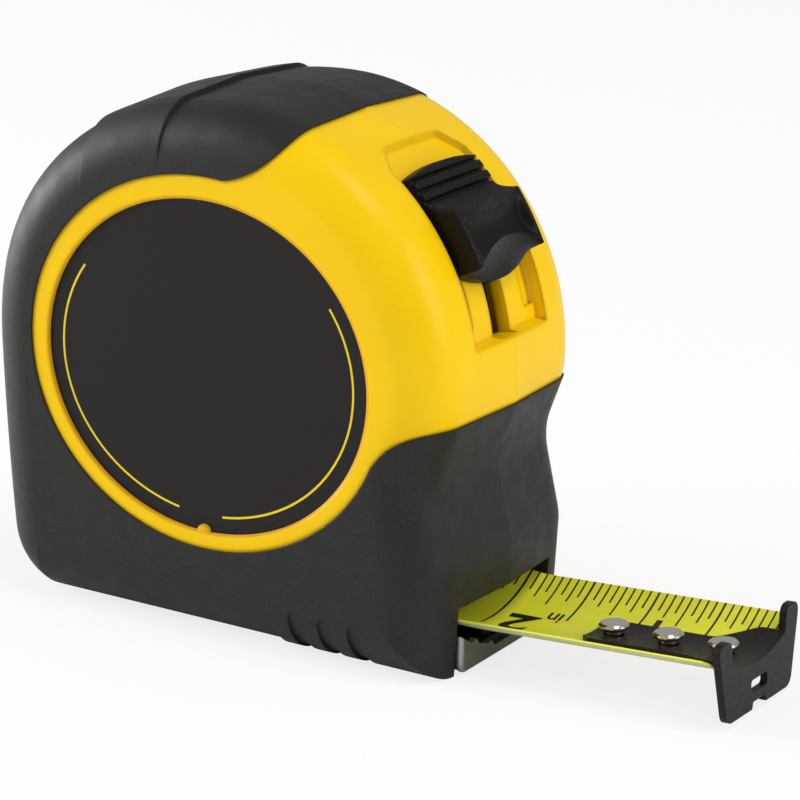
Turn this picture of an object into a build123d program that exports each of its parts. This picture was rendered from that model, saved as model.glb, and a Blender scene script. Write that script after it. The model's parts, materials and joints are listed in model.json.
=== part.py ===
"""Pocket tape measure with a rubber-armoured case, a spring-wound steel blade, an end hook and a thumb lock.

Frame: +X is the way the blade leaves the case, +Z is up, and the shown side of the case faces -Y.
The origin is under the reel axis on the base plane. Millimetres.
"""

from build123d import *

import os
from math import asin, cos, degrees, radians, sin, sqrt, tan

os.makedirs("parts", exist_ok=True)

# ---------------------------------------------------------------- case
case_half = 25.3  # half thickness over the rubber
case_draft = 3.0  # degrees each way from the seam
side_round = 9.5  # radius of the long side edges
base_front_round = 6.5
base_back_round = 13.0
bottom_round = 11.0  # radius of the rubber's long bottom edges, behind the finger ribs
finger_ribs = (16.0, 22.0, 28.0)  # places of the ribs along the bottom edges
rib_width = 3.2
front_set_back = 0.6  # black front behind the foremost point of the dome
case_back = 48.7  # reach of the back, behind the reel axis
waist_depth = 2.9  # finger waist in the front
waist_height = 34.3
waist_round = 12.0
dome_x = 2.0  # centre of the round top and front
dome_drop = 0.3  # its centre lies this far under the reel axis
dome_wall = 8.0  # from the reel bay to the crown
crown_drop = 4.7  # where the flat top begins, under the crown
shoulder_drop = 15.7  # top of the back, under the crown
rubber_wall = 2.2
panel_step = 0.35  # the yellow panels lie this far under the rubber
crest_rise = 0.8  # raised hand rest across the top of the back
crest_span = (-25.5, -9.0)

# ---------------------------------------------------------------- reel
coil_radius = 36.0
blade_width = 31.75
coil_side_gap = 1.0
cavity_gap = 1.6  # air between coil and case, in the radius
drum_radius = 26.0
drum_wall = 1.6
post_radius = 4.0
running_gap = 0.08
thrust_washer = 0.6
spring_turns = 12
spring_strip = 0.35
spring_width = 22.0

# ---------------------------------------------------------------- ring and label
ring_x = 36.45
ring_z = 33.0
label_x = 32.9
label_z = 29.4
label_drop = 0.55  # label face under the ring
label_thick = 0.4
key_radius = 1.3

# ---------------------------------------------------------------- blade
blade_thick = 0.3
blade_cup = 27.0  # radius of the cupped section
blade_pitch = 3.31  # degrees, free stretch rises towards the hook
blade_roll = 1.6  # degrees, shown side up
zero_x = 93.2
zero_z = 12.3
blade_short = 0.8  # end of the blade, short of the zero face
blade_corner = 1.2
bend_x = 46.0  # the free stretch starts here
tail_x = 9.0  # inner end of the modelled stretch
bend_length = 9.0
slide_pitch = 1.4  # degrees, the line along which the blade runs in and out
hook_rest = 0.7  # between the front and the hook of the shut case

# ---------------------------------------------------------------- hook and rivets
hook_thick = 1.3
tongue_thick = 0.9
tongue_half = 5.4
tongue_length = 30.0
shoulder_half = 10.0
shoulder_length = 3.4
flare_length = 9.6  # the tongue widens from here to the shoulder
flare_round = 3.0
tongue_bevel = 1.7
hook_play = 0.6  # travel each way, the hook's own thickness allowance
hook_drop = 11.3
hook_half = 14.5
ear_height = 3.0
ear_inner = 9.8
ear_round = 1.7
hook_corner = 2.2
window_width = 6.0
window_height = 2.2
window_drop = 7.3
rivet_places = (26.0, 15.6, 5.3)  # from the zero face
rivet_head = 2.65
rivet_shank = 1.1
rivet_neck = 1.7
neck_rise = 0.8
rivet_rise = 1.1
rivet_chamfer = 0.35
rivet_gap = 0.25
slide_gap = 0.1

# ---------------------------------------------------------------- mouth
mouth_side_gap = 0.5
mouth_top = 12.2
rail_gap = 0.3
rail_half = 4.0
plate_thick = 1.2
plate_bottom = 0.4
plate_flange = 16.0
plate_set_back = 0.3

# ---------------------------------------------------------------- lock
recess_deep = 3.1  # floor of the thumb recess, behind the foremost point of the dome
recess_half = 11.8
recess_high = 56.0  # degrees about the reel axis
recess_low = 9.0
recess_corner = (5.6, 4.6)  # the upper corners are cut off, across and along
guide_groove = (8.5, 11.2)  # beside the slot, from and to
guide_deep = 0.8
wall_behind = 2.4
slot_width = 5.6
slot_high = 36.5
slot_low = 8.5
button_half = 10.7
button_gap = 0.3
button_top = 49.5
button_bottom = 20.8
plate_over = 2.4  # ribbed plate, over the recess floor
block_over = 6.1  # thumb block, over the recess floor
button_rim = 1.6
rib_count = 3
rib_low = 40.3  # the ribs end here, and a smooth slope climbs to the block
rib_deep = 0.6
slope_middle = 37.4
chin_round = 4.2
brow_round = 1.2
scoop_radius = 7.0
block_top = 34.5
block_low = 26.5
lock_travel = 11.0
lever_thick = 2.8
lever_half = 4.0
stem_half = 2.4
stem_high = 33.0
stem_low = 20.5
lever_low = -64.0  # lower end of the lever, degrees about the reel axis
pad_x = 11.5  # middle of the pad when locked
pad_half = 3.8
pad_length = 4.0
pad_height = 2.4
pad_gap = 0.4
leg_half = 1.4

# ---------------------------------------------------------------- screws and clip
top_screws = ((-27.5, 16.1), (7.0, 6.0))  # along, and under the crown
low_screws = ((11.7, 17.0), (8.5, 19.0))  # in from the back and from the front, and up
screw_head = 2.7
screw_shank = 1.5
screw_sink = 3.0
clip_width = 22.0
clip_thick = 1.1
clip_stand = 3.4
clip_top = 76.0
clip_bottom = 20.0
clip_screw_z = 70.0
clip_shank = 1.9
clip_head = 3.6

cavity_radius = coil_radius + cavity_gap
reel_z = mouth_top + cavity_radius
dome_radius = cavity_radius + dome_wall
dome_z = reel_z - dome_drop
case_front = dome_x + dome_radius - front_set_back
plate_face = case_front - plate_set_back
retract = zero_x - case_front - hook_rest
floor_radius = dome_x + dome_radius - recess_deep
button_plate = floor_radius + plate_over
button_block = floor_radius + block_over
lever_inner = cavity_radius
lever_outer = lever_inner + lever_thick
REEL = (0, reel_z)


def under_crown(drop):
    """Height of a place that lies this far under the top of the dome."""
    return dome_z + (dome_radius - drop)


def polar(radius, angle):
    """Point at a radius and angle in degrees about the reel axis, in the X-Z plane."""
    return (radius * cos(radians(angle)), reel_z + radius * sin(radians(angle)))


def lifted(x, z):
    """Point of the locked lever, turned back up to its place at rest."""
    turn = radians(lock_travel)
    return (x * cos(turn) - (z - reel_z) * sin(turn), reel_z + x * sin(turn) + (z - reel_z) * cos(turn))


screw_places = (
    (top_screws[0][0], under_crown(top_screws[0][1])),
    (top_screws[1][0], under_crown(top_screws[1][1])),
    (low_screws[0][0] - case_back, low_screws[0][1]),
    (case_front - low_screws[1][0], low_screws[1][1]),
)


def case_form(inset):
    """The whole case form, drawn in by inset all round: drafted from the seam, long edges rounded."""
    depth = case_half - inset
    dome_start = (dome_x + dome_radius, dome_z)
    dome_middle = (dome_x + dome_radius * cos(radians(45)), dome_z + dome_radius * sin(radians(45)))
    dome_end = (dome_x, dome_z + dome_radius)
    with BuildPart() as form:
        for level, shrink in ((0, 0), (depth, depth * tan(radians(case_draft)))):
            with BuildSketch(Plane.XZ.offset(level)):
                with BuildLine():
                    front = FilletPolyline(
                        (case_front - 1.4, -8.0),
                        (case_front, waist_height - 15.0),
                        (case_front - waist_depth - 0.7, waist_height),
                        (dome_start[0], dome_z - 3.7),
                        dome_start,
                        radius=waist_round,
                    )
                    ThreePointArc(dome_start, dome_middle, dome_end)
                    crown = TangentArc(dome_end, (-22.0, under_crown(crown_drop)), tangent=(-1, 0))
                    shoulder = TangentArc(crown @ 1, (-37.8, under_crown(shoulder_drop)), tangent=crown % 1)
                    nape = TangentArc(shoulder @ 1, (1.2 - case_back, dome_z + 11.1), tangent=shoulder % 1)
                    rump = TangentArc(nape @ 1, (-case_back, dome_z - 2.5), tangent=nape % 1)
                    heel = TangentArc(rump @ 1, (4.7 - case_back, -8.0), tangent=rump % 1)
                    Line(heel @ 1, front @ 0)
                make_face()
                if inset + shrink:
                    offset(amount=-inset - shrink)
                with Locations((0, inset - 20)):
                    Rectangle(200, 40, mode=Mode.SUBTRACT)
                corners = vertices().group_by(Axis.Y)[0].sort_by(Axis.X)
                fillet(corners[0], base_back_round - inset)
                fillet(corners[-1], max(base_front_round - inset, 0.6))
        loft()
        fillet(faces().sort_by(Axis.Y)[0].edges(), side_round - inset)
        mirror(about=Plane.XZ)
    return form.part


def cup_rise(width):
    """Height of the cupped blade's surface over its lowest line, at a distance from the middle."""
    return blade_cup - sqrt(blade_cup**2 - width**2)


def cupped_band(plane, outer, thick, half_width):
    """Face of a cupped strip: local x runs across, local y up from the chord line of the blade."""
    inner = outer - thick
    angle = degrees(asin(half_width / outer))
    with BuildSketch(plane) as band:
        with BuildLine():
            low = CenterArc((0, blade_cup - blade_sag), outer, 270 - angle, 2 * angle)
            high = CenterArc((0, blade_cup - blade_sag), inner, 270 - angle, 2 * angle)
            Line(low @ 0, high @ 0)
            Line(low @ 1, high @ 1)
        make_face()
    return band.sketch


blade_sag = blade_cup * (1 - cos(blade_width / (2 * blade_cup)))
chord_half = blade_cup * sin(blade_width / (2 * blade_cup))
blade_line = Vector(cos(radians(blade_pitch)), 0, sin(radians(blade_pitch)))
blade_up = Vector(-sin(radians(blade_pitch)), 0, cos(radians(blade_pitch)))
across = Vector(0, 1, 0) * cos(radians(blade_roll)) - blade_up * sin(radians(blade_roll))
zero_point = Vector(zero_x, 0, zero_z)


def blade_plane(place):
    """Plane square to the free stretch at a place along it from the zero face."""
    return Plane(origin=zero_point + blade_line * place, x_dir=across, z_dir=blade_line)


def rivet_plane(place, height):
    """Plane along the free stretch, facing up out of the cup, at a height over the chord line."""
    square = blade_plane(place)
    return Plane(origin=square.origin + square.y_dir * height, x_dir=blade_line, z_dir=square.y_dir)


bend_place = (bend_x - zero_x) / cos(radians(blade_pitch))
tail_z = (zero_point + blade_line * bend_place).Z
trough_z = tail_z - blade_sag
bend_start = bend_x - bend_length
reel_half = blade_width / 2 + 0.3
cavity_half = reel_half + coil_side_gap
channel_half = chord_half + mouth_side_gap
slide_rise = tan(radians(slide_pitch))
channel_floor = trough_z - retract * slide_rise - rail_gap
pad_low = trough_z + blade_thick + cup_rise(pad_half) + pad_gap
pad_top = pad_low + pad_height
panel_face = case_half - panel_step
label_face = panel_face - label_drop

# ---------------------------------------------------------------- case shell
with BuildPart() as edge_trim:
    with BuildSketch(Plane.YZ.offset(-case_back - 5)):
        with BuildLine():
            bottom_edge = CenterArc((case_half - bottom_round, bottom_round), bottom_round, -90, 90)
            Polyline(
                bottom_edge @ 1,
                (case_half + 1, bottom_round),
                (case_half + 1, -1),
                (case_half - bottom_round, -1),
                bottom_edge @ 0,
            )
        make_face()
        mirror(about=Plane.YZ)
    extrude(amount=case_back + case_front + 5)
    with BuildSketch(Plane.XZ):
        with Locations((finger_ribs[0] - rib_width / 2, 0)):
            Rectangle(100, 3 * bottom_round, align=(Align.MAX, Align.CENTER))
        with Locations(*[(rib + (finger_ribs[1] - finger_ribs[0]) / 2, 0) for rib in finger_ribs]):
            SlotOverall(2 * bottom_round - 4, rib_width - 0.4, rotation=90)
    extrude(amount=2 * case_half, both=True, mode=Mode.INTERSECT)

with BuildPart() as crest:
    add(case_form(0).moved(Location((0, 0, crest_rise))))
    with BuildSketch(Plane.XZ):
        Polygon(
            (crest_span[0], reel_z),
            (crest_span[1], reel_z),
            (crest_span[1], reel_z + 2 * dome_radius),
            (crest_span[0], reel_z + 2 * dome_radius),
            align=None,
        )
    extrude(amount=2 * case_half, both=True, mode=Mode.INTERSECT)

with BuildPart() as rubber_form:
    add(case_form(0))
    add(crest.part)
    add(edge_trim.part, mode=Mode.SUBTRACT)
skin = rubber_form.part
panel = case_form(panel_step)
core = case_form(rubber_wall)

with BuildPart() as yellow_zone:
    with BuildSketch(Plane.XZ):
        with Locations((0, reel_z)):
            Ellipse(ring_x, ring_z)
        with BuildLine():
            crest = Spline(
                (-3.0, under_crown(12.7)),
                (4.0, under_crown(12.6)),
                (8.6, under_crown(11.1)),
                (13.7, under_crown(7.4)),
                (16.2, under_crown(3.8)),
                (17.2, under_crown(-14.9)),
            )
            chin = Spline(
                (case_front + 33.0, dome_z - 4.8),
                (case_front - 0.5, dome_z - 4.6),
                (case_front - 7.4, dome_z - 6.5),
                (case_front - 10.8, dome_z - 8.9),
                (case_front - 14.0, dome_z - 13.1),
                (case_front - 23.0, dome_z - 19.5),
            )
            far_corner = (case_front + 33.0, under_crown(-14.9))
            Line(crest @ 1, far_corner)
            Line(far_corner, chin @ 0)
            Line(chin @ 1, crest @ 0)
        make_face()
    extrude(amount=60, both=True)

with BuildPart() as reel_bay:
    with BuildSketch(Plane.XZ):
        with Locations(REEL):
            Circle(cavity_radius)
    extrude(amount=cavity_half, both=True)

with BuildPart() as lever_bay:
    with BuildSketch(Plane.XZ):
        with BuildLine():
            bay_low = lever_low - lock_travel - 6
            rim = CenterArc(REEL, floor_radius - wall_behind, bay_low, slot_high - bay_low)
            low_in = Line(rim @ 0, polar(cavity_radius - 4, bay_low))
            high_in = Line(rim @ 1, polar(cavity_radius - 4, slot_high))
            ThreePointArc(low_in @ 1, polar(cavity_radius - 4, 0), high_in @ 1)
        make_face()
        with Locations(lifted(pad_x, pad_top)):
            Rectangle(pad_length + 3, 4)
    extrude(amount=lever_half + 1.2, both=True)

with BuildPart() as blade_channel:
    with BuildSketch(Plane.YZ.offset(-case_back + 11)):
        with Locations((0, (channel_floor + mouth_top) / 2)):
            Rectangle(2 * channel_half, mouth_top - channel_floor)
    extrude(amount=case_back - 11 + case_front + 4)

with BuildPart() as recess:
    with BuildSketch(Plane.XZ):
        with BuildLine():
            floor = CenterArc(REEL, floor_radius, recess_low, recess_high - recess_low)
            Line(floor @ 0, polar(floor_radius + 14, recess_low - 3))
            Line(floor @ 1, polar(floor_radius + 14, recess_high + 4))
            Line(polar(floor_radius + 14, recess_low - 3), polar(floor_radius + 14, recess_high + 4))
        make_face()
    extrude(amount=recess_half, both=True)
    top_x, top_z = polar(floor_radius - 1, recess_high + 0.3)
    top_end = Plane(origin=(top_x, 0, top_z), x_dir=(0, 1, 0), z_dir=(top_x, 0, top_z - reel_z))
    with BuildSketch(top_end):
        Polygon(
            (recess_half + 1, 3),
            (recess_half + 1, -recess_corner[1]),
            (recess_half, -recess_corner[1]),
            (recess_half - recess_corner[0], 3),
            align=None,
        )
        mirror(about=Plane.YZ)
    extrude(amount=16, mode=Mode.SUBTRACT)
    for start in (guide_groove[0], -guide_groove[1]):
        with BuildSketch(Plane.XZ.offset(start)):
            with BuildLine():
                deep = CenterArc(REEL, floor_radius - guide_deep, slot_low + 4, slot_high - slot_low)
                shallow = CenterArc(REEL, floor_radius + 1, slot_low + 4, slot_high - slot_low)
                Line(deep @ 0, shallow @ 0)
                Line(deep @ 1, shallow @ 1)
            make_face()
        extrude(amount=guide_groove[1] - guide_groove[0])

with BuildPart() as slot:
    with BuildSketch(Plane.XZ):
        with BuildLine():
            inner = CenterArc(REEL, floor_radius - wall_behind - 1, slot_low, slot_high - slot_low)
            outer = CenterArc(REEL, floor_radius + 2, slot_low, slot_high - slot_low)
            Line(inner @ 0, outer @ 0)
            Line(inner @ 1, outer @ 1)
        make_face()
    extrude(amount=slot_width / 2, both=True)

plate_low = plate_bottom + plate_thick
with BuildPart() as plate_seat:
    with BuildSketch(Plane.YZ.offset(plate_face - plate_thick)):
        with Locations((0, 6)):
            Rectangle(2 * channel_half, 12.6)
    extrude(amount=8)
    with BuildSketch(Plane.YZ.offset(plate_face - plate_flange)):
        with Locations((0, plate_low / 2)):
            Rectangle(2 * channel_half, plate_low)
    extrude(amount=plate_flange + 2)

with BuildPart() as label_seat:
    with BuildSketch(Plane.XZ.offset(label_face - label_thick)):
        with Locations((0, reel_z - 0.6)):
            Ellipse(label_x, label_z)
        with Locations((0, reel_z - 0.6 - label_z)):
            Circle(key_radius, mode=Mode.SUBTRACT)
    extrude(amount=6)

with BuildPart() as shell:
    add(panel)
    add(yellow_zone.part, mode=Mode.INTERSECT)
    add(core)
    add(reel_bay.part, mode=Mode.SUBTRACT)
    add(lever_bay.part, mode=Mode.SUBTRACT)
    add(blade_channel.part, mode=Mode.SUBTRACT)
    add(recess.part, mode=Mode.SUBTRACT)
    add(slot.part, mode=Mode.SUBTRACT)
    add(plate_seat.part, mode=Mode.SUBTRACT)
    rail_end = plate_face - plate_thick - 1
    rail_start = bend_start - retract
    with BuildSketch(Plane.XZ):
        Polygon(
            (rail_start, channel_floor),
            (rail_end, channel_floor + (rail_end - rail_start) * slide_rise),
            (rail_end, channel_floor - 0.5),
            (rail_start, channel_floor - 0.5),
            align=None,
        )
    extrude(amount=rail_half, both=True)

with BuildPart() as grip:
    add(skin)
    add(yellow_zone.part, mode=Mode.SUBTRACT)
    add(core, mode=Mode.SUBTRACT)
    add(blade_channel.part, mode=Mode.SUBTRACT)
    add(plate_seat.part, mode=Mode.SUBTRACT)

shank_end = -cavity_half + 4
head_seat = case_half - screw_sink - 2.0
with BuildPart() as screw_holes:
    with BuildSketch(Plane.XZ.offset(-case_half - 1)):
        with Locations(*screw_places):
            Circle(screw_head + 0.3)
    extrude(amount=case_half + 1 - head_seat)
    with BuildSketch(Plane.XZ.offset(-head_seat)):
        with Locations(*screw_places):
            Circle(screw_shank + 0.02)
    extrude(amount=head_seat - shank_end + 0.5)

post_end = cavity_half + 2.5
with BuildPart() as post_sockets:
    with BuildSketch(Plane.XZ.offset(-post_end)):
        with Locations(REEL):
            Circle(post_radius + 0.02)
    extrude(amount=2 * post_end)

clip_seat = label_face - label_thick
with BuildPart() as clip_hole:
    with BuildSketch(Plane.XZ.offset(-clip_seat - 1)):
        with Locations((0, clip_screw_z)):
            Circle(clip_shank + 0.02)
    extrude(amount=clip_seat + 1 - cavity_half - 1.2)

with BuildPart() as shown_side:
    with BuildSketch(Plane.XZ):
        Rectangle(400, 400)
    extrude(amount=2 * case_half)

with BuildPart() as housing_left:
    add(shell.part)
    add(shown_side.part, mode=Mode.INTERSECT)
    add(label_seat.part, mode=Mode.SUBTRACT)
    add(post_sockets.part, mode=Mode.SUBTRACT)
    add(screw_holes.part, mode=Mode.SUBTRACT)
housing_left.part.label = "housing_left"

with BuildPart() as housing_right:
    add(shell.part)
    add(shown_side.part, mode=Mode.SUBTRACT)
    add(label_seat.part.mirror(Plane.XZ), mode=Mode.SUBTRACT)
    add(post_sockets.part, mode=Mode.SUBTRACT)
    add(screw_holes.part, mode=Mode.SUBTRACT)
    add(clip_hole.part, mode=Mode.SUBTRACT)
housing_right.part.label = "housing_right"

with BuildPart() as grip_left:
    add(grip.part)
    add(shown_side.part, mode=Mode.INTERSECT)
grip_left.part.label = "grip_left"

with BuildPart() as grip_right:
    add(grip.part)
    add(shown_side.part, mode=Mode.SUBTRACT)
    add(screw_holes.part, mode=Mode.SUBTRACT)
grip_right.part.label = "grip_right"

with BuildPart() as label_disc:
    with BuildSketch(Plane.XZ.offset(label_face - label_thick)):
        with Locations((0, reel_z - 0.6)):
            Ellipse(label_x - 0.05, label_z - 0.05)
        with Locations((0, reel_z - 0.6 - label_z)):
            Circle(key_radius + 0.05, mode=Mode.SUBTRACT)
    extrude(amount=label_thick)
label_disc.part.label = "label_disc"

# ---------------------------------------------------------------- mouth plate
plate_half = channel_half - 0.1
with BuildPart() as mouth_plate:
    with BuildSketch(Plane.YZ.offset(plate_face - plate_thick)):
        with BuildLine():
            lip = Polyline(
                (0, trough_z - 2.6),
                (-4.4, trough_z - 2.6),
                (-5.6, trough_z - 1.3),
                (-6.7, trough_z - 1.6),
                (-9.7, trough_z - 0.6),
                (-10.6, trough_z + 0.6),
                (-11.4, trough_z + 0.3),
                (-12.8, trough_z + 0.5),
                (-14.3, trough_z + 1.5),
                (-plate_half, trough_z + 2.3),
                (-plate_half, plate_bottom),
                (0, plate_bottom),
            )
            mirror(lip, about=Plane.YZ)
        make_face()
        fillet(vertices().group_by(Axis.Y)[0].sort_by(Axis.X)[0], 1.8)
        fillet(vertices().group_by(Axis.Y)[0].sort_by(Axis.X)[-1], 1.8)
    extrude(amount=plate_thick)
    with BuildSketch(Plane.YZ.offset(plate_face - plate_flange)):
        with Locations((0, plate_bottom)):
            Rectangle(2 * plate_half - 3.6, plate_thick, align=(Align.CENTER, Align.MIN))
    extrude(amount=plate_flange)
    fillet(edges().filter_by(Axis.Y).group_by(Axis.X)[-1].sort_by(Axis.Z)[0], 0.8)
mouth_plate.part.label = "mouth_plate"

# ---------------------------------------------------------------- post, washers, screws
with BuildPart() as centre_post:
    with BuildSketch(Plane.XZ.offset(-post_end)):
        with Locations(REEL):
            Circle(post_radius)
    extrude(amount=2 * post_end)
    chamfer(edges(), 0.4)
centre_post.part.label = "centre_post"

with BuildPart() as thrust_washers:
    for start in (cavity_half - thrust_washer, -cavity_half):
        with BuildSketch(Plane.XZ.offset(start)):
            with Locations(REEL):
                Circle(post_radius + 5)
                Circle(post_radius + 0.2, mode=Mode.SUBTRACT)
        extrude(amount=thrust_washer)
thrust_washers.part.label = "thrust_washers"

with BuildPart() as case_screws:
    with BuildSketch(Plane.XZ.offset(-head_seat - 2.0)):
        with Locations(*screw_places):
            Circle(screw_head)
    extrude(amount=2.0)
    with BuildSketch(Plane.XZ.offset(-head_seat - 2.0)):
        with Locations(*screw_places):
            Rectangle(3.2, 0.7)
            Rectangle(0.7, 3.2)
    extrude(amount=1.0, mode=Mode.SUBTRACT)
    with BuildSketch(Plane.XZ.offset(-head_seat)):
        with Locations(*screw_places):
            Circle(screw_shank)
    extrude(amount=head_seat - shank_end)
case_screws.part.label = "case_screws"

# ---------------------------------------------------------------- belt clip
clip_rest = clip_seat + clip_thick / 2
with BuildPart() as belt_clip:
    with BuildSketch(Plane.YZ):
        with BuildLine():
            FilletPolyline(
                (clip_rest, clip_top),
                (clip_rest, clip_screw_z - 8),
                (case_half + clip_stand, clip_screw_z - 15),
                (case_half + clip_stand, clip_bottom + 11),
                (case_half + clip_thick / 2 + 0.3, clip_bottom + 4),
                (case_half + 2.6, clip_bottom),
                radius=3.0,
            )
        trace(line_width=clip_thick)
    extrude(amount=clip_width / 2, both=True)
    fillet(edges().filter_by(Axis.Y).group_by(Axis.Z)[-1], 3.0)
    with BuildSketch(Plane.XZ.offset(-clip_seat - clip_thick - 1)):
        with Locations((0, clip_screw_z)):
            Circle(clip_shank + 0.02)
    extrude(amount=clip_thick + 2, mode=Mode.SUBTRACT)
belt_clip.part.label = "belt_clip"

with BuildPart() as clip_screw:
    with BuildSketch(Plane.XZ.offset(-clip_seat - clip_thick - 1.8)):
        with Locations((0, clip_screw_z)):
            Circle(clip_head)
    extrude(amount=1.8)
    fillet(faces().sort_by(Axis.Y)[-1].edges(), 0.9)
    with BuildSketch(Plane.XZ.offset(-clip_seat - clip_thick - 1.8)):
        with Locations((0, clip_screw_z)):
            Rectangle(4.2, 0.9)
            Rectangle(0.9, 4.2)
    extrude(amount=1.0, mode=Mode.SUBTRACT)
    with BuildSketch(Plane.XZ.offset(-clip_seat - clip_thick)):
        with Locations((0, clip_screw_z)):
            Circle(clip_shank)
    extrude(amount=clip_seat + clip_thick - cavity_half - 1.4)
clip_screw.part.label = "clip_screw"

# ---------------------------------------------------------------- reel
hub_radius = post_radius + 3.0
with BuildPart() as reel_drum:
    with BuildSketch(Plane.XZ.offset(-reel_half)):
        with Locations(REEL):
            Circle(drum_radius)
    extrude(amount=2 * reel_half)
    with BuildSketch(Plane.XZ.offset(-reel_half)):
        with Locations(REEL):
            Circle(drum_radius - drum_wall)
            Circle(hub_radius, mode=Mode.SUBTRACT)
    extrude(amount=2 * reel_half - drum_wall, mode=Mode.SUBTRACT)
    with BuildSketch(Plane.XZ.offset(-reel_half)):
        with Locations(REEL):
            Circle(post_radius + running_gap)
    extrude(amount=2 * reel_half, mode=Mode.SUBTRACT)
reel_drum.part.label = "reel_drum"

with BuildPart() as drum_cover:
    with BuildSketch(Plane.XZ.offset(-reel_half)):
        with Locations(REEL):
            Circle(drum_radius - drum_wall - 0.02)
            Circle(hub_radius + 0.02, mode=Mode.SUBTRACT)
    extrude(amount=drum_wall)
drum_cover.part.label = "drum_cover"

with BuildPart() as blade_coil:
    with BuildSketch(Plane.XZ.offset(-blade_width / 2)):
        with Locations(REEL):
            Circle(coil_radius)
            Circle(drum_radius + 0.02, mode=Mode.SUBTRACT)
    extrude(amount=blade_width)
blade_coil.part.label = "blade_coil"

spring_start = hub_radius + spring_strip / 2 + 0.02
spring_end = drum_radius - drum_wall - spring_strip / 2 - 0.02
spring_pitch = (spring_end - spring_start) / spring_turns
with BuildPart() as return_spring:
    with BuildSketch(Plane.XZ.offset(-spring_width / 2)):
        with BuildLine():
            for half in range(2 * spring_turns - 1):
                centre = (spring_pitch / 2 * (half % 2), reel_z)
                CenterArc(centre, spring_start + half * spring_pitch / 2, 180 * (half % 2), 180)
        trace(line_width=spring_strip)
    extrude(amount=spring_width)
return_spring.part.label = "return_spring"

# ---------------------------------------------------------------- blade, rivets, hook
tail_plane = Plane(origin=(tail_x, 0, tail_z), x_dir=(0, 1, 0), z_dir=(1, 0, 0))
tail_end = cupped_band(tail_plane, blade_cup, blade_thick, chord_half).face()
bend_inner = cupped_band(tail_plane.offset(bend_start - tail_x), blade_cup, blade_thick, chord_half).face()
bend_outer = cupped_band(blade_plane(bend_place), blade_cup, blade_thick, chord_half).face()
with BuildPart() as blade:
    extrude(tail_end, amount=bend_start - tail_x, dir=(1, 0, 0))
    loft([bend_inner, bend_outer])
    extrude(bend_outer, amount=-blade_short - bend_place, dir=blade_line)
    with BuildSketch(rivet_plane(-blade_short, -blade_sag - 1)):
        with Locations((0, chord_half), (0, -chord_half)):
            Rectangle(blade_corner * sqrt(2), blade_corner * sqrt(2), rotation=45)
    extrude(amount=blade_sag + 3, mode=Mode.SUBTRACT)
    for place in rivet_places:
        with BuildSketch(rivet_plane(-place, -blade_sag - 1)):
            Circle(rivet_shank + 0.02)
        extrude(amount=3, mode=Mode.SUBTRACT)
blade.part.label = "blade"

tongue_low = blade_thick + slide_gap
neck_low = tongue_low + tongue_thick + rivet_gap
with BuildPart() as hook_rivets:
    for place in rivet_places:
        with BuildSketch(rivet_plane(-place, neck_low + neck_rise - blade_sag)):
            Circle(rivet_head)
        extrude(amount=rivet_rise)
        with BuildSketch(rivet_plane(-place, neck_low - blade_sag)):
            Circle(rivet_neck)
        extrude(amount=neck_rise)
        with BuildSketch(rivet_plane(-place, -blade_sag - 0.6)):
            Circle(rivet_neck)
        extrude(amount=0.58)
        with BuildSketch(rivet_plane(-place, -blade_sag - 0.3)):
            Circle(rivet_shank)
        extrude(amount=neck_low + 0.5)
    rims = edges().filter_by(lambda rim: rim.geom_type == GeomType.CIRCLE and rim.radius > rivet_head - 0.01)
    chamfer(rims, rivet_chamfer)
hook_rivets.part.label = "hook_rivets"

tongue_outer = blade_cup - tongue_low
saddle_radius = tongue_outer - tongue_thick
saddle_turn = degrees(asin(ear_inner / saddle_radius))
tongue_band = cupped_band(blade_plane(-tongue_length), tongue_outer, tongue_thick, shoulder_half + 1).face()
with BuildPart() as end_hook:
    extrude(tongue_band, amount=tongue_length, dir=blade_line)
    with BuildSketch(rivet_plane(0, -blade_sag - 1)):
        with BuildLine():
            outline = Polyline(
                (-tongue_length, 0),
                (-tongue_length, tongue_half - tongue_bevel),
                (-tongue_length + tongue_bevel, tongue_half),
                (-flare_length, tongue_half),
                (-shoulder_length, shoulder_half),
                (0, shoulder_half),
                (0, 0),
            )
            mirror(outline, about=Plane.XZ)
        make_face()
        fillet(vertices().filter_by_position(Axis.X, -flare_length - 0.1, -shoulder_length + 0.1), flare_round)
    extrude(amount=blade_sag + 1, mode=Mode.INTERSECT)
    with BuildSketch(blade_plane(0)):
        with BuildLine():
            saddle = CenterArc((0, blade_cup - blade_sag), saddle_radius, 270, saddle_turn)
            side = Polyline(
                saddle @ 1,
                (ear_inner + 0.6, ear_height),
                (hook_half + 0.5, ear_height),
                (hook_half, 0),
                (hook_half - 2.6, -hook_drop),
                (2.6, -hook_drop),
                (2.2, -hook_drop + 1.2),
                (0, -hook_drop + 1.2),
            )
            mirror(saddle, about=Plane.YZ)
            mirror(side, about=Plane.YZ)
        make_face()
        fillet(vertices().group_by(Axis.Y)[-1], ear_round)
        corners = vertices().group_by(Axis.Y)[0].sort_by(Axis.X)
        fillet((corners[0], corners[-1]), hook_corner)
        with Locations((0, -window_drop)):
            RectangleRounded(window_width, window_height, 0.7, mode=Mode.SUBTRACT)
    extrude(amount=hook_thick)
    for place in rivet_places:
        with BuildSketch(rivet_plane(-place, -blade_sag)):
            SlotOverall(2 * (rivet_shank + 0.2 + hook_play), 2 * (rivet_shank + 0.2))
        extrude(amount=neck_low + 0.5, mode=Mode.SUBTRACT)
end_hook.part.label = "end_hook"

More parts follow.
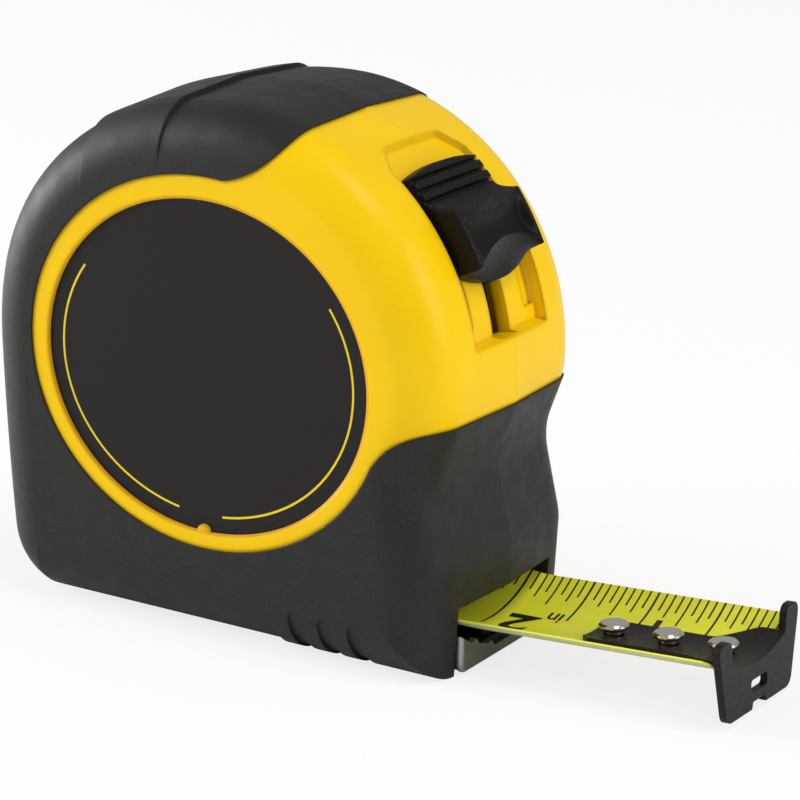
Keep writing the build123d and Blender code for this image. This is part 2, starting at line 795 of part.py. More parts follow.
# ---------------------------------------------------------------- lock
with BuildPart() as lock_pad:
    with BuildSketch(Plane.XZ):
        Polygon(
            lifted(pad_x - pad_length / 2, pad_low),
            lifted(pad_x + pad_length / 2, pad_low),
            lifted(pad_x + pad_length / 2, pad_top),
            lifted(pad_x - pad_length / 2, pad_top),
            align=None,
        )
    extrude(amount=pad_half, both=True)
    fillet(edges().filter_by(Axis.Y).group_by(Axis.Z)[0], 0.5)
lock_pad.part.label = "lock_pad"

button_base = floor_radius + button_gap
with BuildPart() as lock_lever:
    with BuildSketch(Plane.XZ):
        with BuildLine():
            inner = CenterArc(REEL, lever_inner, lever_low, stem_high + 2 - lever_low)
            outer = CenterArc(REEL, lever_outer, lever_low, stem_high + 2 - lever_low)
            Line(inner @ 0, outer @ 0)
            Line(inner @ 1, outer @ 1)
        make_face()
        Polygon(
            lifted(pad_x - leg_half, reel_z - lever_inner - 0.5),
            lifted(pad_x - leg_half, pad_top),
            lifted(pad_x + leg_half, pad_top),
            lifted(pad_x + leg_half, reel_z - lever_inner - 0.5),
            align=None,
        )
    extrude(amount=lever_half, both=True)
    with BuildSketch(Plane.XZ):
        with BuildLine():
            inner = CenterArc(REEL, lever_inner + 0.5, stem_low, stem_high - stem_low)
            outer = CenterArc(REEL, button_base, stem_low, stem_high - stem_low)
            Line(inner @ 0, outer @ 0)
            Line(inner @ 1, outer @ 1)
        make_face()
    extrude(amount=stem_half, both=True)
lock_lever.part.label = "lock_lever"

rib_edge = button_top - 1.2
rib_step = (rib_edge - rib_low) / rib_count
ribs = []
for rib in range(rib_count):
    ribs += [
        polar(button_plate, rib_edge - rib * rib_step),
        polar(button_plate + 0.2, rib_edge - (rib + 0.6) * rib_step),
        polar(button_plate - rib_deep, rib_edge - (rib + 0.7) * rib_step),
        polar(button_plate - rib_deep, rib_edge - (rib + 0.95) * rib_step),
    ]
with BuildPart() as lock_button:
    with BuildSketch(Plane.XZ):
        with BuildLine():
            under = CenterArc(REEL, button_base, button_bottom, button_top - button_bottom)
            Polyline(
                under @ 1,
                polar(button_plate - 1.2, button_top),
                *ribs,
                polar(button_plate - rib_deep, rib_low),
                polar(button_plate, rib_low - 0.3),
                polar(button_plate + 0.9, slope_middle),
                polar(button_block, block_top),
                polar(button_block + 0.2, block_low),
                polar(button_block - 2.8, button_bottom + 2.4),
                polar(button_block - 4.0, button_bottom + 0.4),
                under @ 0,
            )
        make_face()
    extrude(amount=button_half, both=True)
    with BuildSketch(Plane.XZ):
        with Locations(polar(scoop_radius + button_block - 1.6, (block_top + block_low) / 2)):
            Circle(scoop_radius)
    extrude(amount=button_half - button_rim, both=True, mode=Mode.SUBTRACT)
    outline_x, outline_z = polar(floor_radius, (button_top + button_bottom) / 2)
    facing_out = Plane((outline_x, 0, outline_z), x_dir=(0, 1, 0), z_dir=(outline_x, 0, outline_z - reel_z))
    with BuildSketch(facing_out):
        Rectangle(2 * button_half, 2 * button_block * sin(radians((button_top - button_bottom) / 2)))
        fillet(vertices().group_by(Axis.Y)[0], chin_round)
        fillet(vertices().group_by(Axis.Y)[-1], brow_round)
    extrude(amount=button_half, both=True, mode=Mode.INTERSECT)
lock_button.part.label = "lock_button"

pieces = (
    housing_left,
    housing_right,
    grip_left,
    grip_right,
    label_disc,
    mouth_plate,
    centre_post,
    thrust_washers,
    case_screws,
    belt_clip,
    clip_screw,
    reel_drum,
    drum_cover,
    blade_coil,
    return_spring,
    blade,
    hook_rivets,
    end_hook,
    lock_button,
    lock_lever,
    lock_pad,
)
for piece in pieces:
    export_step(piece.part, f"parts/{piece.part.label}.step")
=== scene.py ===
"""Looks for the pocket tape measure: materials, the printed scale, the studio and the camera."""

import json
import math

import bmesh
import bpy
from mathutils import Matrix, Vector


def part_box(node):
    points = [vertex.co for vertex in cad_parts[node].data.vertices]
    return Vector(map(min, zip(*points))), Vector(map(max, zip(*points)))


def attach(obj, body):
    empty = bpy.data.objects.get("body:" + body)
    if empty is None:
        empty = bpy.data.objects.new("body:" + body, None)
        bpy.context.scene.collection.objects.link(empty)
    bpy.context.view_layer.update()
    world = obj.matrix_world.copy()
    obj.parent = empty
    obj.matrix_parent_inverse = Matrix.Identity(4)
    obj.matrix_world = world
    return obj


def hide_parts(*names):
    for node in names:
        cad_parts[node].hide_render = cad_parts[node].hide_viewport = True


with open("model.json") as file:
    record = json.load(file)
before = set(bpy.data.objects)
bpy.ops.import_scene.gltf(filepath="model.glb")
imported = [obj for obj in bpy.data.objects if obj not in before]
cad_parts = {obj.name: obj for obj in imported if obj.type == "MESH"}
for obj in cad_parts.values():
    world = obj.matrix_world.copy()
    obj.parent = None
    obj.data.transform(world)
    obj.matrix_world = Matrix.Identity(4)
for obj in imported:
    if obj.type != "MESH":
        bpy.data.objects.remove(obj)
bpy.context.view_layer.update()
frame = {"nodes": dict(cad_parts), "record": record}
nodes = frame["nodes"]
MM = 0.001

# the oval seat of the label, in metres, which places the painted shade of its ring: its half axes, its middle
# height and how far out its ring begins
RING_X, RING_Z, RING_MIDDLE, RING_DEPTH = 0.0329, 0.0294, 0.0492, 0.020
SEAM_REACH = 0.00025


# ------------------------------------------------------------------ material helpers
def material(name, colour, rough, metal=0.0, **extra):
    """A Principled material and the pieces of its tree that the helpers below add to."""
    mat = bpy.data.materials.new(name)
    mat.use_nodes = True
    shader = mat.node_tree.nodes["Principled BSDF"]
    shader.inputs["Base Color"].default_value = (*colour, 1)
    shader.inputs["Roughness"].default_value = rough
    shader.inputs["Metallic"].default_value = metal
    for key, value in extra.items():
        shader.inputs[key.replace("_", " ")].default_value = value
    return mat


def add(mat, kind, **values):
    """Adds a node and sets its sockets by name, or its properties where it has no such socket."""
    node = mat.node_tree.nodes.new(kind)
    for key, value in values.items():
        if key in node.inputs:
            node.inputs[key].default_value = value
        else:
            setattr(node, key, value)
    return node


def link(mat, out, into):
    mat.node_tree.links.new(out, into)


def place(mat):
    """Where a point lies on its own piece, in metres."""
    return add(mat, "ShaderNodeTexCoord").outputs["Object"]


def noise(mat, scale, detail=3.0, rough=0.5, stretch=None):
    """A noise in the piece's own space. The scale is per metre, and stretch multiplies it along each axis."""
    node = add(mat, "ShaderNodeTexNoise", Scale=scale, Detail=detail, Roughness=rough)
    where = place(mat)
    if stretch:
        squeeze = add(mat, "ShaderNodeMapping", Scale=stretch)
        link(mat, where, squeeze.inputs["Vector"])
        where = squeeze.outputs["Vector"]
    link(mat, where, node.inputs["Vector"])
    return node.outputs["Fac"]


def ramp(mat, source, stops):
    """Turns a value into a colour by (position, colour) stops."""
    node = add(mat, "ShaderNodeValToRGB")
    while len(node.color_ramp.elements) < len(stops):
        node.color_ramp.elements.new(0.5)
    for element, (position, colour) in zip(node.color_ramp.elements, stops):
        element.position = position
        element.color = (*colour, 1)
    link(mat, source, node.inputs["Fac"])
    return node.outputs["Color"]


def bump(mat, heights, strength=0.3):
    """Adds heights, each a (source, depth in metres) pair, to the material's surface."""
    shader = mat.node_tree.nodes["Principled BSDF"]
    last = None
    for source, depth in heights:
        node = add(mat, "ShaderNodeBump", Strength=strength, Distance=depth)
        link(mat, source, node.inputs["Height"])
        if last:
            link(mat, last, node.inputs["Normal"])
        last = node.outputs["Normal"]
    link(mat, last, shader.inputs["Normal"])


def vary(mat, socket, source, stops):
    """Drives a shader input by a noise through a ramp."""
    colour = ramp(mat, source, stops)
    link(mat, colour, mat.node_tree.nodes["Principled BSDF"].inputs[socket])


def grey(value):
    return (value, value, value)


def soften(mat, radius):
    """Lets light roll over the moulded edges, under whatever bump the surface has."""
    edge = add(mat, "ShaderNodeBevel", samples=4, Radius=radius)
    for node in mat.node_tree.nodes:
        if node.bl_idname == "ShaderNodeBump" and not node.inputs["Normal"].is_linked:
            link(mat, edge.outputs["Normal"], node.inputs["Normal"])


def axis(mat, letter):
    """One coordinate of a point on its own piece, in metres."""
    split = add(mat, "ShaderNodeSeparateXYZ")
    link(mat, place(mat), split.inputs["Vector"])
    return split.outputs[letter]


def off_middle(mat):
    """How far a point of the object is from the middle plane, in metres."""
    away = add(mat, "ShaderNodeMath", operation="ABSOLUTE")
    link(mat, axis(mat, "Y"), away.inputs[0])
    return away.outputs[0]


def spare_seam(mat, radius):
    """Keeps the softened edges from rounding the two halves apart along the seam."""
    least = add(mat, "ShaderNodeMath", operation="MINIMUM")
    link(mat, off_middle(mat), least.inputs[0])
    least.inputs[1].default_value = radius
    edge = next(node for node in mat.node_tree.nodes if node.bl_idname == "ShaderNodeBevel")
    link(mat, least.outputs[0], edge.inputs["Radius"])


def below(mat, source, limit):
    """One where the source is under the limit, and zero elsewhere."""
    test = add(mat, "ShaderNodeMath", operation="LESS_THAN")
    link(mat, source, test.inputs[0])
    test.inputs[1].default_value = limit
    return test.outputs[0]


def both(mat, one, two):
    """Where two masks meet."""
    product = add(mat, "ShaderNodeMath", operation="MULTIPLY")
    link(mat, one, product.inputs[0])
    link(mat, two, product.inputs[1])
    return product.outputs[0]


def paint_over(mat, mask, colour):
    """Lays a colour over the base colour, as far as the mask says."""
    socket = mat.node_tree.nodes["Principled BSDF"].inputs["Base Color"]
    base = socket.links[0].from_socket
    blend = add(mat, "ShaderNodeMix", data_type="RGBA")
    link(mat, mask, blend.inputs[0])
    link(mat, base, blend.inputs[6])
    blend.inputs[7].default_value = (*colour, 1)
    link(mat, blend.outputs[2], socket)


def painted_mouth_shade(mat, dark, top, half):
    """Painted shade: the blade's channel is blackened where it lies in deep shade, low down and between its two
    walls.
    """
    paint_over(mat, both(mat, below(mat, off_middle(mat), half), below(mat, axis(mat, "Z"), top)), dark)


def painted_ring_shade(mat, dark):
    """Painted shade standing in for the sloping inner wall of the yellow ring round the label, on the shown
    side: the yellow inside the ring's inner edge turns darker orange, fading out just past it.
    """
    shift = (0, 0, -RING_MIDDLE / RING_Z)
    oval = add(mat, "ShaderNodeMapping", Scale=(1 / RING_X, 0, 1 / RING_Z), Location=shift)
    link(mat, place(mat), oval.inputs["Vector"])
    reach = add(mat, "ShaderNodeVectorMath", operation="LENGTH")
    link(mat, oval.outputs["Vector"], reach.inputs[0])
    share = add(mat, "ShaderNodeMapRange")
    share.inputs["From Min"].default_value = 0.99
    share.inputs["From Max"].default_value = 1.05
    link(mat, reach.outputs["Value"], share.inputs["Value"])
    band = ramp(mat, share.outputs["Result"], [(0.0, grey(1)), (0.30, grey(1)), (0.48, grey(0))])
    paint_over(mat, both(mat, band, below(mat, axis(mat, "Y"), -RING_DEPTH)), dark)


def seam(mat, dark):
    """A fine dark line painted where the two halves of the case meet, at the middle plane."""
    scaled = add(mat, "ShaderNodeMath", operation="MULTIPLY")
    scaled.inputs[1].default_value = 1 / SEAM_REACH
    link(mat, off_middle(mat), scaled.inputs[0])
    paint_over(mat, ramp(mat, scaled.outputs[0], [(0.25, grey(1)), (0.5, grey(0))]), dark)


def by_height(mat, under, low=-0.25, high=-0.05):
    """Gives the faces that look down a colour of their own."""
    split = add(mat, "ShaderNodeSeparateXYZ")
    link(mat, add(mat, "ShaderNodeTexCoord").outputs["Normal"], split.inputs["Vector"])
    reach = add(mat, "ShaderNodeMapRange")
    reach.inputs["From Min"].default_value = low
    reach.inputs["From Max"].default_value = high
    reach.inputs["To Min"].default_value = 1
    reach.inputs["To Max"].default_value = 0
    link(mat, split.outputs["Z"], reach.inputs["Value"])
    paint_over(mat, reach.outputs["Result"], under)


# ------------------------------------------------------------------ materials
yellow = material("yellow_moulding", (0.96, 0.60, 0.001), 0.33, Specular_IOR_Level=0.16)
vary(yellow, "Base Color", noise(yellow, 60, 2), [(0.3, (0.95, 0.59, 0.001)), (0.7, (0.98, 0.62, 0.002))])
vary(yellow, "Roughness", noise(yellow, 900, 3), [(0.3, grey(0.28)), (0.7, grey(0.36))])
bump(yellow, [(noise(yellow, 2600, 3), 0.00002), (noise(yellow, 45, 2), 0.0002)], 0.12)
soften(yellow, 0.0016)
spare_seam(yellow, 0.0016)
seam(yellow, (0.88, 0.52, 0.002))
# painted shade: a darker orange band at the inner edge of the ring round the label
painted_ring_shade(yellow, (0.86, 0.44, 0.004))
# painted shade: the blade's channel inside the mouth is blackened
painted_mouth_shade(yellow, (0.035, 0.025, 0.008), 0.0123, 0.0156)

rubber = material("black_rubber", (0.013, 0.013, 0.0125), 0.50, Specular_IOR_Level=0.30)
mottle = noise(rubber, 3500, 4, 0.7)
vary(rubber, "Base Color", mottle, [(0.35, (0.008, 0.008, 0.0078)), (0.65, (0.019, 0.0188, 0.018))])
vary(rubber, "Roughness", noise(rubber, 300, 4), [(0.3, grey(0.46)), (0.7, grey(0.58))])
bump(rubber, [(noise(rubber, 3200, 4, 0.7), 0.00008), (noise(rubber, 60, 2), 0.0003)], 0.35)
soften(rubber, 0.0005)
seam(rubber, (0.004, 0.004, 0.004))

label = material("label_film", (0.007, 0.0055, 0.005), 0.42, Specular_IOR_Level=0.25)
vary(label, "Roughness", noise(label, 500, 3), [(0.3, grey(0.38)), (0.7, grey(0.46))])
bump(label, [(noise(label, 5000, 2), 0.00002)], 0.1)

ring_ink = material("ring_ink", (0.85, 0.62, 0.01), 0.45, Specular_IOR_Level=0.25)
vary(ring_ink, "Roughness", noise(ring_ink, 900, 3), [(0.3, grey(0.4)), (0.7, grey(0.5))])

plate = material("mouth_steel", (0.36, 0.34, 0.35), 0.40, 1.0)
vary(plate, "Roughness", noise(plate, 400, 4, 0.6, (1, 1, 12)), [(0.3, grey(0.26)), (0.7, grey(0.42))])
bump(plate, [(noise(plate, 900, 3, 0.6, (1, 1, 14)), 0.00003)], 0.2)
soften(plate, 0.0002)

pin = material("pin_steel", (0.55, 0.55, 0.56), 0.3, 1.0)
bump(pin, [(noise(pin, 2000, 2, 0.5, (1, 8, 1)), 0.00002)], 0.2)

screw = material("screw_zinc", (0.42, 0.42, 0.44), 0.32, 1.0)
vary(screw, "Roughness", noise(screw, 900, 3), [(0.3, grey(0.25)), (0.7, grey(0.42))])
bump(screw, [(noise(screw, 2500, 3), 0.00002)], 0.2)

clip = material("clip_steel", (0.50, 0.50, 0.52), 0.3, 1.0)
vary(clip, "Roughness", noise(clip, 350, 4, 0.6, (14, 1, 1)), [(0.3, grey(0.24)), (0.7, grey(0.40))])
bump(clip, [(noise(clip, 700, 3, 0.6, (16, 1, 1)), 0.00003)], 0.25)
soften(clip, 0.0003)

drum = material("drum_plastic", (0.06, 0.06, 0.06), 0.5)
bump(drum, [(noise(drum, 1500, 3), 0.00003)], 0.2)

spring = material("spring_steel", (0.35, 0.34, 0.36), 0.35, 1.0)
bump(spring, [(noise(spring, 900, 2, 0.5, (1, 10, 1)), 0.00002)], 0.2)

tape = material("blade_coating", (0.88, 0.88, 0.042), 0.36, Specular_IOR_Level=0.35)
streaks = noise(tape, 400, 4, 0.6, (0.2, 1, 1))
vary(tape, "Base Color", streaks, [(0.3, (0.85, 0.855, 0.036)), (0.7, (0.91, 0.91, 0.048))])
by_height(tape, (0.68, 0.72, 0.34))
vary(tape, "Roughness", noise(tape, 1500, 3), [(0.3, grey(0.32)), (0.7, grey(0.42))])
bump(tape, [(noise(tape, 3000, 3), 0.00001)], 0.2)

nickel = material("rivet_nickel", (0.62, 0.60, 0.57), 0.16, 1.0)
vary(nickel, "Roughness", noise(nickel, 1600, 4), [(0.3, grey(0.10)), (0.7, grey(0.26))])
bump(nickel, [(noise(nickel, 1200, 3), 0.00005)], 0.2)
soften(nickel, 0.0004)

hook = material("hook_coating", (0.012, 0.010, 0.009), 0.38, Specular_IOR_Level=0.18)
mottle = noise(hook, 1800, 4, 0.7)
vary(hook, "Base Color", mottle, [(0.35, (0.008, 0.0068, 0.006)), (0.7, (0.018, 0.015, 0.0135))])
vary(hook, "Roughness", noise(hook, 1500, 4), [(0.3, grey(0.32)), (0.7, grey(0.5))])
bump(hook, [(noise(hook, 2200, 4, 0.7), 0.00006)], 0.4)
soften(hook, 0.0004)

button = material("button_plastic", (0.004, 0.0035, 0.003), 0.40, Specular_IOR_Level=0.16)
vary(button, "Roughness", noise(button, 1800, 4), [(0.3, grey(0.34)), (0.7, grey(0.52))])
bump(button, [(noise(button, 2600, 4, 0.7), 0.00007)], 0.4)
soften(button, 0.0004)

ink = material("scale_ink", (0.012, 0.012, 0.010), 0.4)
vary(ink, "Roughness", noise(ink, 2500, 3), [(0.3, grey(0.35)), (0.7, grey(0.45))])

SLOT_LOOK = {
    "yellow_abs": yellow,
    "black_rubber": rubber,
    "label_black": label,
    "plate_steel": plate,
    "pin_steel": pin,
    "screw_steel": screw,
    "clip_steel": clip,
    "drum_plastic": drum,
    "blade_yellow": tape,
    "spring_steel": spring,
    "rivet_nickel": nickel,
    "hook_black": hook,
    "button_black": button,
}
for row in frame["record"]["subparts"]:
    mesh = nodes[row["node"]].data
    mesh.materials.clear()
    mesh.materials.append(SLOT_LOOK[row["material_slot"]])


# ------------------------------------------------------------------ printed scale and label lines
# The blade as the CAD has it, in millimetres. It leaves the hook along a pitched line, slightly rolled, and
# past the bend it runs level into the case.
INCH = 25.4
CUP, SAG, THICK = 27.0, 4.534, 0.3  # radius of the blade's underside, depth of its cup and its thickness
ZERO = Vector((93.2, 0, 12.3))  # middle of the blade's front end
PITCH, ROLLED = math.radians(3.31), math.radians(1.6)
ALONG = Vector((math.cos(PITCH), 0, math.sin(PITCH)))
RISE = Vector((-math.sin(PITCH), 0, math.cos(PITCH)))
ACROSS = Vector((0, math.cos(ROLLED), 0)) - RISE * math.sin(ROLLED)
SQUARE = ALONG.cross(ACROSS)
BEND, BEND_LENGTH, FLAT_Z = -47.28, 9.0, 9.570  # start of the bend, its length and the height of the level run
SCALE_ZERO = 0.5  # inside of the hook when it is pulled out to the end of its play
PRINT_LIFT = 0.035
EDGE = 14.75  # the ticks start here, just short of the far edge of the blade


def on_blade(along, across):
    """A point just over the top of the blade, from a place along it and a place across it, in millimetres."""
    height = CUP - SAG + PRINT_LIFT - math.sqrt((CUP - THICK) ** 2 - across**2)
    past = BEND - along
    free = ZERO + ALONG * max(along, BEND) + ACROSS * across + SQUARE * height
    if past <= 0:
        return free
    flat = Vector((ZERO.x + BEND * math.cos(PITCH) - max(past, BEND_LENGTH), across, FLAT_Z + height))
    return free.lerp(flat, min(past / BEND_LENGTH, 1))


def print_piece(name, sheet, look, body, lay):
    """Makes a flat sheet of print into a piece that follows a surface. It is cut fine before it is laid."""
    for step in range(-15, 16):  # a cut every millimetre over the blade's width
        cut = sheet.verts[:] + sheet.edges[:] + sheet.faces[:]
        bmesh.ops.bisect_plane(sheet, geom=cut, plane_co=(0, step, 0), plane_no=(0, 1, 0))
    for vert in sheet.verts:
        vert.co = lay(vert.co.x, vert.co.y) * MM
    mesh = bpy.data.meshes.new(name)
    sheet.to_mesh(mesh)
    sheet.free()
    mesh.materials.append(look)
    piece = bpy.data.objects.new(name, mesh)
    bpy.context.scene.collection.objects.link(piece)
    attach(piece, body)


def patch(sheet, low, high):
    """A rectangle of print from its low corner to its high corner."""
    spots = [(low[0], low[1]), (high[0], low[1]), (high[0], high[1]), (low[0], high[1])]
    sheet.faces.new([sheet.verts.new((x, y, 0)) for x, y in spots])


# where the ticks end across the blade, by how many sixteenths apart they are: sixteenths to whole inches
REACH = {1: 11.1, 2: 9.7, 4: 8.1, 8: 4.2, 16: -3.0}
SIXTEENTHS = 52  # as far as the blade is modelled
THIN_TICK, BOLD_TICK = 0.17, 0.21  # half widths, the bold one for halves and wholes
ticks = bmesh.new()
for count in range(1, SIXTEENTHS + 1):
    size = max(step for step in REACH if count % step == 0)
    middle = SCALE_ZERO - count * INCH / 16
    half_width = THIN_TICK if size < 8 else BOLD_TICK
    patch(ticks, (middle - half_width, REACH[size]), (middle + half_width, EDGE))
print_piece("scale_ticks", ticks, ink, "blade", on_blade)


CAP_SHARE = 0.7  # height of a capital, as a share of the type's size


def words(text, height, bold, squeeze, right_edge, base):
    """Generic figures as a flat sheet: their tops face the near edge and they read towards the case.

    Height and bold, the growth of each stroke, are in millimetres, and squeeze is the share of the usual width.
    right_edge and base are places along and across the blade.
    """
    curve = bpy.data.curves.new("figures", "FONT")
    curve.body = text
    curve.size = height / CAP_SHARE
    curve.offset = bold
    curve.resolution_u = 6
    stand = bpy.data.objects.new("figures", curve)
    bpy.context.scene.collection.objects.link(stand)
    bpy.context.view_layer.update()
    flat = bpy.data.meshes.new_from_object(stand.evaluated_get(bpy.context.evaluated_depsgraph_get()))
    bpy.data.objects.remove(stand)
    bpy.data.curves.remove(curve)
    sheet = bmesh.new()
    sheet.from_mesh(flat)
    bpy.data.meshes.remove(flat)
    left = min(vert.co.x for vert in sheet.verts)
    low = min(vert.co.y for vert in sheet.verts)
    for vert in sheet.verts:
        vert.co = Vector((right_edge - (vert.co.x - left) * squeeze, base - (vert.co.y - low), 0))
    return sheet


for name, row in {
    "figure_one": ("1", 6.0, 0.22, 0.9, -21.2, 8.9),
    "figure_two": ("2", 7.6, 0.24, 1.16, -42.0, 3.8),
    "figure_three": ("3", 7.6, 0.24, 1.16, -67.4, 3.8),
    "inch_word": ("in", 3.4, 0.07, 0.9, -38.7, 6.1),
}.items():
    print_piece(name, words(*row), ink, "blade", on_blade)

# two thin lines round the label, open at the top and at the bottom
label_low, label_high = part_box("label_disc")
LABEL_Z = (label_low[2] + label_high[2]) / 2 / MM
LINE_INSET, LINE_HALF = 2.9, 0.2
LINE_X = (label_high[0] - label_low[0]) / 2 / MM - LINE_INSET
LINE_Z = (label_high[2] - label_low[2]) / 2 / MM - LINE_INSET
LINE_STEPS = 60


def on_label(x, z):
    """A point just off the face of the label, in millimetres."""
    return Vector((x, label_low[1] / MM - 0.02, LABEL_Z + z))


for name, start, stop in (("label_line_left", 147, 259.5), ("label_line_right", 277, 393)):
    sheet = bmesh.new()
    rows = []
    for step in range(LINE_STEPS + 1):
        turn = math.radians(start + (stop - start) * step / LINE_STEPS)
        spots = [(LINE_X + side, LINE_Z + side) for side in (-LINE_HALF, LINE_HALF)]
        rows.append([sheet.verts.new((x * math.cos(turn), z * math.sin(turn), 0)) for x, z in spots])
    for one, two in zip(rows, rows[1:]):
        sheet.faces.new((one[0], one[1], two[1], two[0]))
    print_piece(name, sheet, ring_ink, "case", on_label)

# ------------------------------------------------------------------ thumb button, carved over its plain solid
# The button is a field of radii round the reel's axis, in millimetres. Angles are degrees over the level, and
# side runs from -1 to 1 over its width. From the top down come the ribs, the saddle, the scoop and the lip.
REEL_Z = 49.8
BUTTON_BASE, BUTTON_HALF = 44.8, 10.7  # radius of the flat back, and half the width
RIBS_TOP, RIBS_FOOT, RIB_PITCH, RIB_HEIGHT = 48.3, 40.3, 8 / 3, 0.75


def ease(low, high, value):
    """A smooth step from 0 at low to 1 at high."""
    share = min(max((value - low) / (high - low), 0), 1)
    return share * share * (3 - 2 * share)


def button_low(side):
    """The angle of the lower end."""
    return 20.8 + 3.6 * side**2


def button_high(side):
    """The angle of the upper end."""
    return 49.5 - 1.6 * side**2


def button_radius(angle, side):
    """Outer radius of the button about the reel axis, at an angle in degrees and a share of its half width."""
    crest = 34.0 + 2.6 * side**2
    brim = 28.6 - 4.4 * side**2
    low = button_low(side)
    if angle > RIBS_FOOT:
        turn = (RIBS_TOP - angle) / RIB_PITCH % 1
        rib = RIB_HEIGHT * (1 - ease(0.58, 0.70, turn) + ease(0.92, 1.0, turn))
        edge = ease(button_high(side) + 0.1, button_high(side) - 1.3, angle)
        return 45.6 + edge * (0.75 + rib)
    if angle > crest:
        share = (RIBS_FOOT - angle) / (RIBS_FOOT - crest)
        return 46.9 + 3.7 * share**1.9
    if angle > brim:
        share = (crest - angle) / (crest - brim)
        return 50.6 - 1.5 * math.sin(math.pi * share) * (1 - ease(0.78, 0.9, abs(side)))
    share = (brim - angle) / max(brim - low, 0.01)
    return 50.7 - 3.9 * share - 0.8 * math.sin(math.pi * share) * (1 - side**2)


def button_mesh():
    """A closed form: the carved face, the flat back against the recess floor, and the walls between them."""
    form = bmesh.new()
    steps, spread = 150, 56  # cells along the arc and across the width
    face, back = [], []
    for step in range(steps + 1):
        rows = ([], [])
        for place_across in range(spread + 1):
            side = -1 + 2 * place_across / spread
            low, high = button_low(side), button_high(side)
            angle = low + (high - low) * step / steps
            turn = math.radians(angle)
            rim = 0.45 * ease(0.95, 1.0, abs(side)) + 0.45 * ease(0.985, 1.0, step / steps)
            for row, radius in zip(rows, (button_radius(angle, side) - rim, BUTTON_BASE)):
                spot = (radius * math.cos(turn), BUTTON_HALF * side, REEL_Z + radius * math.sin(turn))
                row.append(form.verts.new(Vector(spot) * MM))
        face.append(rows[0])
        back.append(rows[1])
    for sheet_rows, flip in ((face, False), (back, True)):
        for one, two in zip(sheet_rows, sheet_rows[1:]):
            for a, b, c, d in zip(one, one[1:], two[1:], two):
                form.faces.new((a, d, c, b) if flip else (a, b, c, d))
    rims = (
        (face[0], back[0]),
        (back[-1], face[-1]),
        ([row[0] for row in back], [row[0] for row in face]),
        ([row[-1] for row in face], [row[-1] for row in back]),
    )
    for one, two in rims:
        for a, b, c, d in zip(one, one[1:], two[1:], two):
            form.faces.new((a, d, c, b))
    bmesh.ops.recalc_face_normals(form, faces=form.faces[:])
    for edge in form.edges:
        edge.smooth = edge.calc_face_angle(0) < math.radians(35)
    for polygon in form.faces:
        polygon.smooth = True
    mesh = bpy.data.meshes.new("thumb_button")
    form.to_mesh(mesh)
    form.free()
    return mesh


thumb = bpy.data.objects.new("thumb_button", button_mesh())
bpy.context.scene.collection.objects.link(thumb)
thumb.data.materials.append(button)
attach(thumb, "lock")
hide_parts("lock_button")


# ------------------------------------------------------------------ studio
CENTRE = Vector((0.02, 0, 0.045))


def area_lamp(name, spot, size, power):
    """A white rectangular lamp that faces the part, with its size in metres and its power in watts."""
    data = bpy.data.lights.new(name, "AREA")
    data.shape = "RECTANGLE"
    data.size, data.size_y = size
    data.energy = power
    lamp = bpy.data.objects.new(name, data)
    bpy.context.scene.collection.objects.link(lamp)
    lamp.location = spot
    lamp.rotation_euler = (CENTRE - Vector(spot)).to_track_quat("-Z", "Y").to_euler()


area_lamp("left_lamp", (-0.85, -0.60, 0.70), (0.5, 0.5), 6.0)
area_lamp("right_lamp", (0.92, 0.10, 0.45), (0.4, 0.6), 3.3)
area_lamp("rim_lamp", (-1.00, -0.12, 0.14), (0.5, 0.4), 8.0)
area_lamp("top_lamp", (0.45, -0.15, 1.10), (0.4, 0.4), 3.2)

world = bpy.data.worlds.new("studio")
bpy.context.scene.world = world
world.use_nodes = True
tree = world.node_tree
background = tree.nodes["Background"]
background.inputs["Color"].default_value = (1, 1, 1, 1)
background.inputs["Strength"].default_value = 0.42
seen = tree.nodes.new("ShaderNodeBackground")
seen.inputs["Color"].default_value = (1, 1, 1, 1)
seen.inputs["Strength"].default_value = 1.0
rays = tree.nodes.new("ShaderNodeLightPath")
mix = tree.nodes.new("ShaderNodeMixShader")
tree.links.new(rays.outputs["Is Camera Ray"], mix.inputs["Fac"])
tree.links.new(background.outputs["Background"], mix.inputs[1])
tree.links.new(seen.outputs["Background"], mix.inputs[2])
tree.links.new(mix.outputs["Shader"], tree.nodes["World Output"].inputs["Surface"])

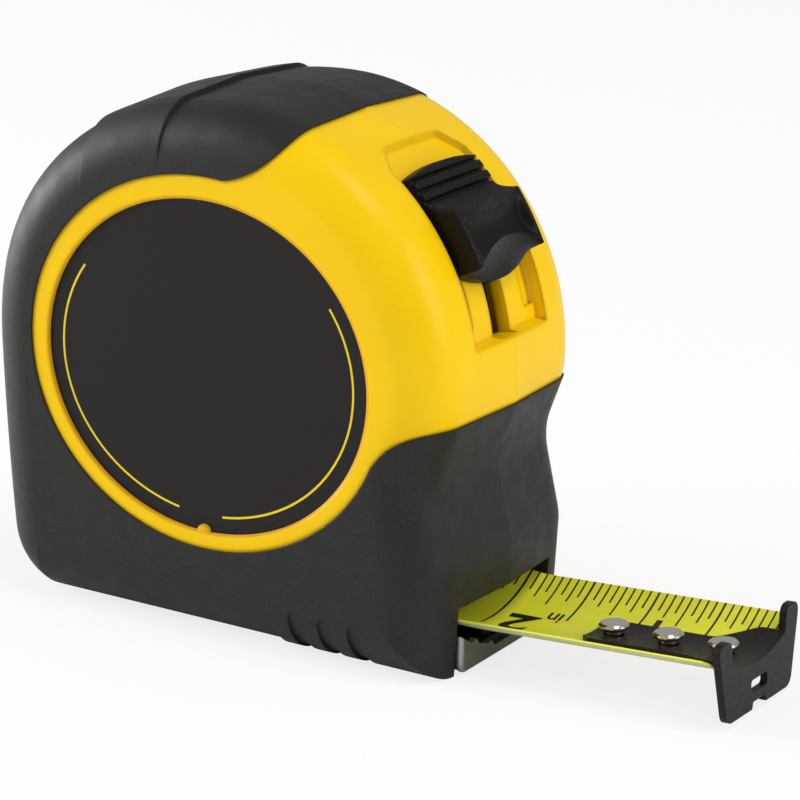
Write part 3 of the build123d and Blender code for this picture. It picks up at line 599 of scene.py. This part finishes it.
floor_mesh = bpy.data.meshes.new("floor")
form = bmesh.new()
corners = [form.verts.new((x, y, 0)) for x, y in ((-6, -6), (6, -6), (6, 6), (-6, 6))]
form.faces.new(corners)
form.to_mesh(floor_mesh)
form.free()
floor = bpy.data.objects.new("floor", floor_mesh)
bpy.context.scene.collection.objects.link(floor)
paper = bpy.data.materials.new("studio_paper")
paper.use_nodes = True
tree = paper.node_tree
shader = tree.nodes["Principled BSDF"]
shader.inputs["Base Color"].default_value = (0.92, 0.92, 0.92, 1)
shader.inputs["Roughness"].default_value = 0.9
glow = tree.nodes.new("ShaderNodeEmission")
glow.inputs["Strength"].default_value = 1.0
rays = tree.nodes.new("ShaderNodeLightPath")
share = tree.nodes.new("ShaderNodeMath")
share.operation = "MULTIPLY"
share.inputs[1].default_value = 0.8
mix = tree.nodes.new("ShaderNodeMixShader")
tree.links.new(rays.outputs["Is Camera Ray"], share.inputs[0])
tree.links.new(share.outputs[0], mix.inputs["Fac"])
tree.links.new(shader.outputs["BSDF"], mix.inputs[1])
tree.links.new(glow.outputs["Emission"], mix.inputs[2])
tree.links.new(mix.outputs["Shader"], tree.nodes["Material Output"].inputs["Surface"])
floor_mesh.materials.append(paper)

# ------------------------------------------------------------------ camera
AZIMUTH, ELEVATION, ROLL = (math.radians(a) for a in (31.543, 17.308, 0.901))
level = Vector((math.cos(AZIMUTH), math.sin(AZIMUTH), 0))
outward = Vector((math.sin(AZIMUTH), -math.cos(AZIMUTH), 0))
back = outward * math.cos(ELEVATION) + Vector((0, 0, math.sin(ELEVATION)))
upright = back.cross(level)
right = math.cos(ROLL) * level + math.sin(ROLL) * upright
up = -math.sin(ROLL) * level + math.cos(ROLL) * upright
camera_data = bpy.data.cameras.new("camera")
camera_data.sensor_width = 36.0
camera_data.lens = 149.96
camera_data.clip_start = 0.01
camera_data.clip_end = 50
camera = bpy.data.objects.new("camera", camera_data)
bpy.context.scene.collection.objects.link(camera)
turn = Matrix((right, up, back)).transposed().to_4x4()
camera.matrix_world = Matrix.Translation((0.3122, -0.4694, 0.2131)) @ turn
bpy.context.scene.camera = camera
bpy.context.scene.view_settings.view_transform = "Standard"
